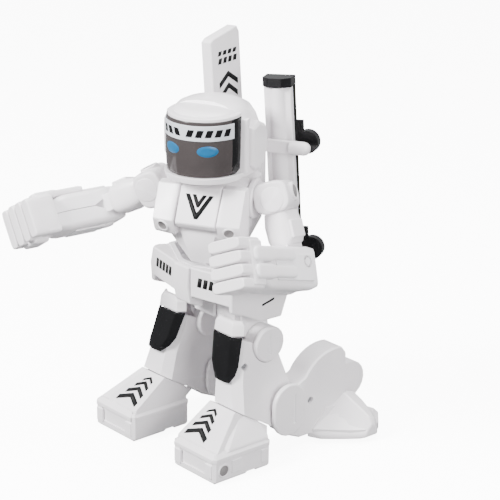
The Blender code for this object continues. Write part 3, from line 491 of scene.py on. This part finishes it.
def make_fist(label, side):
    """The boxing glove: four finger bars, the palm, the thumb side and the wrist ring."""
    builder = bmesh.new()
    for step in range(4):
        low = -12.9 + 5.85 * step
        half = (9.5 - 0.35 * abs(step - 1.2), 2.82)
        rings = []
        for forward, shrink in ((-32.5, 1.0), (-41.0, 1.0), (-43.2, 0.94), (-44.4, 0.78),
                                (-44.8, 0.5)):
            rings.append([(x, forward, z) for x, z in
                          superellipse((0.0, low + 2.9), (half[0] * (0.9 + 0.1 * shrink),
                                                          half[1] * (0.55 + 0.45 * shrink)), 5.0)])
        add_rings(builder, rings)
    add_box(builder, (-9.0, 9.0), (-39.0, -30.2), (-12.6, 10.2), 1.6, 3)
    add_box(builder, on_side(side, (-11.0, -7.0)), (-42.6, -34.0), (-7.5, 3.5), 1.5, 3)
    add_box(builder, on_side(side, (6.6, 9.8)), (-38.6, -30.4), (-11.2, 8.8), 1.0, 2)
    add_lathe(builder, [(0.0, -31.0), (6.6, -31.0), (6.6, -28.8), (5.2, -28.4), (5.2, -26.0),
                        (0.0, -26.0)], (0.0, 0.0, -1.5), "Y", 40)
    fist = piece(f"{label}_glove", builder, ELBOW[label], f"{label}_forearm", WHITE, 0.3)
    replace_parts(fist, f"{label}_fist")


def make_shoulder(label, side):
    """The swing disc on the torso, the rounded pivot block on it, and the upper arm below."""
    disc = bmesh.new()
    profile = [(0.0, 0.2), (8.9, 0.2), (8.9, 2.0), (8.3, 2.7), (5.6, 2.7), (5.0, 3.4), (0.0, 3.4)]
    side_lathe(disc, side, profile, (0.0, 0.0, 0.0), 56)
    side_lathe(disc, side, [(0.0, 3.0), (4.6, 3.0), (4.6, 6.4), (0.0, 6.4)], (0.0, 0.0, 0.0), 40)
    cap = piece(f"{label}_shoulder_disc", disc, SWING[label], f"{label}_shoulder", WHITE, 0.25)
    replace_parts(cap, f"{label}_shoulder_cap")

    block = bmesh.new()
    rings = []
    for y, share in ((-8.4, 0.80), (-7.9, 0.93), (-6.6, 1.0), (6.6, 1.0), (7.9, 0.93), (8.4, 0.80)):
        section = superellipse((-side * 0.6, 1.6), (8.4 * share, 7.2 * share), 3.2, 44)
        rings.append([(x, y, z) for x, z in section])
    add_rings(block, rings)
    boss = [(0.0, 6.0), (4.3, 6.0), (4.3, 8.3), (3.9, 8.7), (3.0, 8.7), (2.9, 8.4), (0.0, 8.4)]
    side_lathe(block, side, boss, (0.0, 0.0, 2.6), 40)
    for y in (-8.2, 8.2):
        face = math.copysign(1.0, y)
        add_lathe(block, [(0.0, y - face), (5.6, y - face), (5.6, y + 0.2 * face),
                          (5.0, y + 0.6 * face), (0.0, y + 0.6 * face)], (0.0, 0.0, 0.6), "Y", 40)
    head = piece(f"{label}_shoulder_block", block, RAISE[label], f"{label}_arm_pivot", WHITE, 0.25)
    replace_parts(head, f"{label}_arm_head")
    # A dark grey disc on the floor of the boss's hole: painted shade in the socket.
    core = bmesh.new()
    side_lathe(core, side, [(0.0, 8.3), (2.86, 8.3), (2.86, 8.5), (0.0, 8.5)], (0.0, 0.0, 2.6), 32)
    piece(f"{label}_shoulder_socket_shade", core, RAISE[label], f"{label}_arm_pivot", PAINTED_SHADE)

    arm = bmesh.new()
    stations = [(-4.6, 5.2, 5.4), (-5.4, 6.4, 6.4), (-10.6, 7.3, 6.9), (-17.4, 7.0, 6.7),
                (-19.4, 6.2, 6.2), (-20.2, 5.0, 5.6)]
    add_rings(arm, [[(x, y, z) for x, y in superellipse((0.0, 0.0), (wide, deep), 3.4, 44)]
                    for z, wide, deep in stations])
    add_box(arm, (-4.1, 4.1), (-5.3, 5.3), (-31.0, -18.0), 0.6, 2)
    add_lathe(arm, [(0.0, -4.1), (5.5, -4.1), (5.5, 4.1), (0.0, 4.1)], (0.0, 0.0, -UPPER_ARM),
              "X", 40)
    add_box(arm, on_side(side, (6.2, 8.0)), (-4.2, 4.2), (-17.6, -9.6), 0.6, 2)
    sleeve = piece(f"{label}_arm_shell", arm, TWIST[label], f"{label}_upper_arm", WHITE, 0.25)
    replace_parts(sleeve, f"{label}_upper_arm")


def make_gauntlet(label, side):
    """The forearm cuff: a tapered shell split along its length, a raised panel and two prongs."""
    for half, sign in (("inner", -side), ("outer", side)):
        builder = bmesh.new()
        stations = [(9.2, -8.2, 4.6, 5.6), (7.6, -10.8, 6.6, 7.6), (3.0, -12.2, 7.2, 8.3),
                    (-8.0, -12.3, 7.2, 8.6), (-22.0, -12.3, 7.2, 8.5), (-24.6, -11.9, 6.8, 8.1),
                    (-27.6, -9.8, 5.6, 7.0), (-28.2, -9.0, 5.0, 6.2)]
        rings = []
        for y, low, high, width in stations:
            middle_z, half_z = 0.5 * (low + high), 0.5 * (high - low)
            # The halves stand apart where the upper arm enters.
            slot = 4.7 if y > -7.0 else 0.16
            ring = [(sign * slot, y, low)]
            for step in range(13):
                turn = math.radians(-90.0 + 180.0 * step / 12)
                across = max(math.cos(turn), 0.0) ** 0.36
                along = math.copysign(abs(math.sin(turn)) ** 0.36, math.sin(turn))
                ring.append((sign * (slot + (width - slot) * across), y, middle_z + half_z * along))
            ring.append((sign * slot, y, high))
            rings.append(ring)
        add_rings(builder, rings)
        if sign == side:
            add_box(builder, on_side(side, (7.6, 9.3)), (-21.5, 3.6), (-8.6, 3.4), 0.6, 2)
            for height in (2.6, -5.0):
                rings = []
                for y, grow in ((-10.0, 0.8), (-12.0, 1.0), (-24.0, 1.0), (-26.0, 1.25),
                                (-35.0, 1.25), (-36.4, 1.05), (-37.2, 0.6)):
                    rings.append([(side * 9.6 + x * grow, y, z * grow + height) for x, z in
                                  superellipse((0.0, 0.0), (1.5, 2.7), 3.2, 24)])
                add_rings(builder, rings)
        else:
            add_box(builder, on_side(side, (-9.1, -7.6)), (-19.0, -2.0), (-7.6, 2.4), 0.5, 2)
        shell = piece(f"{label}_cuff_{half}", builder, ELBOW[label], f"{label}_forearm", WHITE, 0.3)
        if half == "outer":
            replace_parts(shell, f"{label}_gauntlet")
    core = bmesh.new()
    add_box(core, (-4.6, 4.6), (-26.0, -12.0), (-11.0, 5.6), 0.8, 2)
    add_box(core, (-6.0, 6.0), (-6.0, 5.5), (-11.4, -7.2), 0.8, 2)
    piece(f"{label}_cuff_core", core, ELBOW[label], f"{label}_forearm", WHITE, 0.2)
    for sign in (-1.0, 1.0):
        bolt = bmesh.new()
        profile = [(0.0, 7.0), (3.4, 7.0), (3.4, 8.8), (2.9, 9.3), (1.5, 9.3), (1.5, 8.7),
                   (0.0, 8.7)]
        side_lathe(bolt, sign, profile, (0.0, 0.0, 0.0), 32)
        tag = "outer" if sign == side else "inner"
        piece(f"{label}_elbow_boss_{tag}", bolt, ELBOW[label], f"{label}_forearm", WHITE, 0.2)


# ---------------------------------------------------------------- torso, tails and feet

def make_pec(label, side):
    """The faceted chest block beside the plate, with a round port in its lower facet whose floor is
    painted dark grey as shade.
    """
    inner = [(-12.0, 125.3), (-15.9, 124.9), (-25.0, 110.4), (-22.4, 104.4), (-20.8, 102.8),
             (-12.0, 102.6)]
    outer = [(-11.0, 125.1), (-15.7, 124.7), (-23.1, 110.0), (-21.2, 105.0), (-19.6, 103.2),
             (-11.0, 103.2)]
    block = bmesh.new()
    add_rings(block, [[(side * x, y, z) for y, z in outline] for x, outline in
                      ((10.1, inner), (12.6, inner), (20.5, outer))])
    piece(f"{label}_pec_block", block, TORSO, "torso", WHITE, 0.5)
    port = bmesh.new()
    centre = Vector((side * 15.6, -23.1, 107.2))
    facet = Vector((side * 0.24, -0.90, -0.38)).normalized()
    turn = facet.to_track_quat("Z", "X").to_matrix()
    steps = [2.0 * math.pi * step / 32 for step in range(32)]
    rings = [[tuple(centre + turn @ Vector((radius * math.cos(a), radius * math.sin(a), lift)))
              for a in steps] for radius, lift in
             ((2.9, -1.2), (2.9, 0.35), (2.3, 0.35), (2.2, 0.12))]
    add_rings(port, rings)
    made = piece(f"{label}_pec_port", port, TORSO, "torso", [WHITE, PAINTED_SHADE])
    # The faces of the port's floor take the dark grey: painted shade in the port.
    for face in made.data.polygons:
        middle_point = Vector(face.center) / MM - centre
        if len(face.vertices) > 8 and middle_point.dot(facet) > 0.0:
            face.material_index = 1


def make_belt_panel(label, side):
    """The belt's flush front panel on one side of the middle box."""
    panel = bmesh.new()
    outline = [(27.4, 1.2), (28.6, 3.0), (28.6, 5.2), (25.6, 9.6), (5.5, -1.2), (5.6, -3.6)]
    rings = [[(side * (x - inset), y + inset * 0.6, z) for x, y in outline]
             for z, inset in ((73.6, 0.6), (74.4, 0.0), (86.8, 0.0), (87.6, 0.6))]
    add_rings(panel, rings)
    piece(f"{label}_belt_panel", panel, ROOT, "pelvis", WHITE, 0.35)


def make_spur(label, side):
    """The outrigger ridge beside the tail, narrowing to a rounded tip, and the leg's screws."""
    stations = [
        (34.2, [(42.0, 1.9), (42.0, 5.4), (51.0, 13.0), (63.4, 19.8), (70.6, 17.4), (77.0, 9.6),
                (78.2, 1.9)]),
        (40.0, [(44.6, 1.9), (44.8, 4.2), (54.0, 10.4), (64.0, 17.2), (70.8, 15.0), (76.0, 8.2),
                (77.2, 1.9)]),
        (47.0, [(53.0, 1.9), (53.2, 4.2), (58.5, 8.8), (64.6, 14.0), (69.8, 12.2), (73.2, 7.4),
                (74.0, 1.9)]),
        (51.4, [(58.6, 2.0), (58.8, 4.2), (61.6, 7.6), (65.0, 11.6), (68.2, 10.4), (70.2, 6.6),
                (70.6, 2.0)]),
        (53.4, [(61.4, 2.6), (61.6, 4.2), (63.0, 6.4), (65.0, 8.4), (67.0, 7.6), (68.2, 5.4),
                (68.4, 2.6)])]
    spur = bmesh.new()
    add_rings(spur, [[(side * x, y, z) for y, z in outline] for x, outline in stations])
    piece(f"{label}_tail_spur", spur, ROOT, f"{label}_lower_leg", WHITE, 1.0, 4, angle=20.0)
    heads = bmesh.new()
    radius = 1.6
    for x, y, z in ((35.1, 42.2, 21.0), (29.9, 7.0, 45.3)):
        side_lathe(heads, side, [(0.0, -0.3), (radius, -0.3), (radius * 0.85, 0.15),
                                 (radius * 0.4, 0.3), (0.0, 0.1)], (side * x, y, z), 32)
    piece(f"{label}_screw_heads", heads, ROOT, f"{label}_lower_leg", STEEL)


def make_foot(label, side):
    """Trim over the CAD foot: a stepped rim, corner pads, side lugs, a round port with a disc
    painted dark grey as shade in its hole, and the slope.
    """
    trim = bmesh.new()
    # Heights of the rim, each with how far it grows past the foot's box.
    levels = [(10.2, 0.0), (10.4, 0.5), (12.2, 0.5), (13.4, -0.8), (14.2, -1.6), (14.2, -3.2),
              (10.2, -3.2)]
    low_x, high_x, low_y, high_y = 14.6, 43.2, -21.0, 12.0
    rings = []
    for z, grow in levels:
        corner = 1.6 + grow * 0.4
        inside, outside, front, back = low_x - grow, high_x + grow, low_y - grow, high_y + grow
        ring = [(inside + corner, front), (outside - corner, front), (outside, front + corner),
                (outside, back - corner), (outside - corner, back), (inside + corner, back),
                (inside, back - corner), (inside, front + corner)]
        rings.append([(side * x, y, z) for x, y in ring])
    add_rings(trim, rings, close=False)
    bmesh.ops.bridge_loops(trim, edges=[edge for edge in trim.edges if len(edge.link_faces) == 1])
    for low, high in ((16.0, 20.4), (37.4, 41.8)):
        add_box(trim, on_side(side, (low, high)), (-21.7, -20.4), (2.6, 9.4), 0.4, 2)
    for low, high in ((-11.0, -5.0), (6.0, 10.4)):
        add_box(trim, on_side(side, (42.6, 43.8)), (low, high), (3.2, 9.6), 0.4, 2)
    port_centre = (side * high_x, -15.6, 5.9)
    side_lathe(trim, side, [(2.5, -0.3), (3.2, -0.3), (3.2, 0.35), (2.9, 0.55), (2.5, 0.55),
                            (2.5, -0.3)], port_centre, 40)
    # A dark grey disc inside the port's rim: painted shade in the hole.
    port = bmesh.new()
    side_lathe(port, side, [(0.0, -0.3), (2.52, -0.3), (2.52, 0.06), (0.0, 0.06)], port_centre, 40)
    piece(f"{label}_foot_port_shade", port, ROOT, f"{label}_lower_leg", PAINTED_SHADE)
    piece(f"{label}_foot_trim", trim, ROOT, f"{label}_lower_leg", WHITE, 0.25)
    slope = bmesh.new()
    rings = [[(side * x, y, z) for x, y, z in ring] for ring in (
        [(15.2, -19.3, 13.2), (36.0, -19.3, 13.2), (42.8, -12.5, 13.2), (42.8, 11.2, 13.2),
         (15.2, 11.2, 13.2)],
        [(15.4, -18.9, 15.0), (35.4, -18.9, 15.0), (42.3, -11.5, 15.0), (42.3, 11.2, 15.0),
         (15.4, 11.2, 15.0)],
        [(16.4, -1.2, 26.7), (29.4, -1.2, 26.7), (33.7, 2.5, 24.6), (36.2, 11.2, 19.4),
         (16.4, 11.2, 19.4)])]
    add_rings(slope, rings)
    piece(f"{label}_foot_slope", slope, ROOT, f"{label}_lower_leg", WHITE, 0.5)


# ---------------------------------------------------------------- printed marks

UP = (0.0, 0.0, 1.0)


def add_print(builder, origin, up, shapes, across=(1.0, 0.0, 0.0), lift=0.14):
    """Thin printed shapes on a flat face, drawn in its own across and up directions."""
    origin, across, up = Vector(origin), Vector(across).normalized(), Vector(up).normalized()
    normal = across.cross(up)
    for shape in shapes:
        rings = [[tuple(origin + across * u + up * v + normal * height) for u, v in shape]
                 for height in (-0.08, lift)]
        add_rings(builder, rings)


def chevron(u, v, half, rise, thick):
    """An arrow band: its outer feet at height v, its tip rise above them."""
    return [(u - half, v), (u, v + rise), (u + half, v), (u + half, v - thick),
            (u, v + rise - thick), (u - half, v - thick)]


def bars(u, v, count, pitch, width, height, lean=0.8):
    """A row of leaning bars, the first one's foot at (u, v)."""
    return [[(u + pitch * step, v), (u + pitch * step + width, v),
             (u + pitch * step + width + lean, v + height), (u + pitch * step + lean, v + height)]
            for step in range(count)]


def make_prints():
    """Plain chevrons and bars where the real object has its printed marks."""
    for label, side in SIDES.items():
        foot = bmesh.new()
        shapes = [chevron(side * u, *rest) for u, *rest in
                  ((25.0, 4.0, 6.8, 3.6, 2.6), (24.4, 8.6, 5.6, 3.2, 2.2),
                   (23.8, 12.8, 4.4, 2.8, 1.9), (23.2, 16.4, 3.2, 2.2, 1.4))]
        add_print(foot, (0.0, -18.9, 15.0), (0.0, 17.7, 11.7), shapes)
        piece(f"{label}_foot_print", foot, ROOT, f"{label}_lower_leg", INK)
    chest = bmesh.new()
    shapes = [[(-6.6, 13.6), (-4.6, 13.6), (0.0, 5.4), (4.6, 13.6), (6.6, 13.6), (0.8, 2.6),
               (-0.8, 2.6)],
              [(-3.4, 13.6), (-1.6, 13.6), (0.0, 10.6), (1.6, 13.6), (3.4, 13.6), (0.5, 7.9),
               (-0.5, 7.9)]]
    add_print(chest, (0.0, -24.4, 109.6), (0.0, 8.2, 15.0), shapes)
    piece("chest_print", chest, TORSO, "torso", INK)
    belt = bmesh.new()
    for side in (-1.0, 1.0):
        add_print(belt, (side * 16.5, -1.23, 73.8), UP, bars(-7.4, 5.4, 5, 3.2, 2.2, 4.4),
                  (21.8, side * 4.8, 0.0), 0.12)
    stripe = [(18.6, 70.6), (25.6, 72.2), (25.6, 73.2), (18.6, 71.6)]
    add_print(belt, (28.8, 0.0, 0.0), UP, [stripe], (0.0, 1.0, 0.0))
    piece("belt_print", belt, ROOT, "pelvis", INK)
    fin = bmesh.new()
    shapes = bars(4.0, 62.4, 4, 3.4, 2.2, 2.0) + bars(4.0, 58.6, 4, 3.4, 2.2, 2.6)
    shapes += [chevron(10.6, v, 6.4 - 0.5 * n, 4.6, 2.6)
               for n, v in enumerate((50.0, 44.6, 39.2, 33.8))]
    add_print(fin, (2.9, 0.0, 0.0), UP, shapes, (0.0, 1.0, 0.0))
    piece("fin_print", fin, FIN, "torso", INK)


# ---------------------------------------------------------------- stage

FLOOR_SIZE = 12.0
FLOOR_GLOW = 9.0
SKY_BELOW, SKY_ABOVE = 0.34, 0.95


def make_stage():
    """A pale floor that lights nothing itself, a sky that is darker below, and three soft lamps."""
    floor = bpy.data.meshes.new("floor")
    builder = bmesh.new()
    bmesh.ops.create_grid(builder, x_segments=2, y_segments=2, size=FLOOR_SIZE)
    builder.to_mesh(floor)
    builder.free()
    plane = bpy.data.objects.new("floor", floor)
    bpy.context.scene.collection.objects.link(plane)
    material, tree, shader = new_material("floor_paper", (0.92, 0.92, 0.925), 0.75)
    coordinates = tree.nodes.new("ShaderNodeTexCoord").outputs["Object"]
    grain = add_noise(tree, coordinates, 400.0, 3.0)
    tree.links.new(mix_colour(tree, grain, (0.915, 0.915, 0.92), (0.93, 0.93, 0.935)),
                   shader.inputs["Base Color"])
    shader.inputs["Emission Color"].default_value = (1.0, 1.0, 1.0, 1.0)
    shader.inputs["Emission Strength"].default_value = FLOOR_GLOW
    floor.materials.append(material)
    plane.visible_diffuse = False
    plane.visible_glossy = False

    world = bpy.data.worlds.new("studio")
    world.use_nodes = True
    world.node_tree.nodes["Background"].inputs["Color"].default_value = (0.97, 0.98, 1.0, 1.0)
    tree = world.node_tree
    split = tree.nodes.new("ShaderNodeSeparateXYZ")
    tree.links.new(tree.nodes.new("ShaderNodeTexCoord").outputs["Generated"], split.inputs[0])
    tree.links.new(map_range(tree, split.outputs["Z"], -0.6, 0.8, SKY_BELOW, SKY_ABOVE),
                   tree.nodes["Background"].inputs["Strength"])
    bpy.context.scene.world = world

    def lamp(name, place, aim, size, power):
        light = bpy.data.lights.new(name, "AREA")
        light.shape = "RECTANGLE"
        light.size, light.size_y = size
        light.energy = power
        holder = bpy.data.objects.new(name, light)
        holder.location = place
        holder.rotation_euler = (Vector(aim) - Vector(place)).to_track_quat("-Z", "Y").to_euler()
        bpy.context.scene.collection.objects.link(holder)

    lamp("key", (-0.20, -0.85, 0.70), (0.0, 0.0, 0.09), (0.35, 0.35), 34.0)
    lamp("fill", (0.95, -0.15, 0.40), (0.0, 0.0, 0.09), (0.5, 0.5), 13.0)
    lamp("top", (0.10, 0.20, 1.0), (0.0, 0.0, 0.1), (0.5, 0.5), 12.0)


CAMERA_AZIMUTH, CAMERA_ELEVATION = 50.5, 20.0
CAMERA_DISTANCE = 0.900
CAMERA_TARGET = (0.008, 0.0, 0.090)
CAMERA_SHIFT = (0.100, 0.024)
PICTURE_WIDTH = 500.0
PICTURE_UNITS_PER_MM = 2.26
SENSOR = 36.0


def make_camera():
    azimuth, elevation = math.radians(CAMERA_AZIMUTH), math.radians(CAMERA_ELEVATION)
    target = ROOT @ Vector(CAMERA_TARGET)
    away = Vector((math.sin(azimuth) * math.cos(elevation),
                   -math.cos(azimuth) * math.cos(elevation), math.sin(elevation)))
    data = bpy.data.cameras.new("camera")
    data.sensor_width = SENSOR
    data.lens = PICTURE_UNITS_PER_MM * CAMERA_DISTANCE / MM / PICTURE_WIDTH * SENSOR
    data.shift_x, data.shift_y = CAMERA_SHIFT
    data.clip_start = 0.05
    camera = bpy.data.objects.new("camera", data)
    camera.location = target + away * CAMERA_DISTANCE
    camera.rotation_euler = (-away).to_track_quat("-Z", "Y").to_euler()
    bpy.context.scene.collection.objects.link(camera)
    bpy.context.scene.camera = camera


dress_frame()
make_helmet()
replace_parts(bpy.data.objects["helmet"], "helmet_shell")
make_visor()
for arm_label, arm_side in SIDES.items():
    make_fist(arm_label, arm_side)
    make_shoulder(arm_label, arm_side)
    make_pec(arm_label, arm_side)
    make_belt_panel(arm_label, arm_side)
    make_spur(arm_label, arm_side)
    make_foot(arm_label, arm_side)
    make_gauntlet(arm_label, arm_side)
make_prints()
make_stage()
make_camera()
